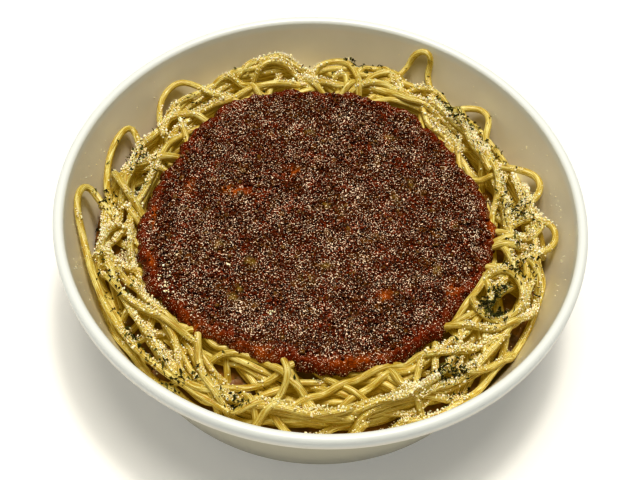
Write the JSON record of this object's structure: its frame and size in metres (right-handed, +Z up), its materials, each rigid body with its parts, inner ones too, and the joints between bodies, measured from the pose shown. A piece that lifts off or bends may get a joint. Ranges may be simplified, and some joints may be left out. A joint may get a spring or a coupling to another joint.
{
  "type": "bowl of spaghetti bolognese",
  "caption": "Round white bowl holding cooked spaghetti under a flat round of meat sauce, served as one filled dish.",
  "frame": {"origin": "middle of the bowl's foot, on the surface that it stands on", "axes": "+Z up along the bowl's axis; -Y is the side nearest the viewer in the reference view, +X its right"},
  "size_m": [0.18, 0.18, 0.055],
  "materials": {
    "bowl": "smooth white, slightly satin",
    "spaghetti": "moist, lightly oiled cooked pasta",
    "meat_sauce": "thick minced meat and tomato sauce with an oily sheen"
  },
  "bodies": {
    "root": {"bowl": "bowl", "spaghetti": "spaghetti", "meat_sauce": "meat_sauce"}
  },
  "joints": []
}
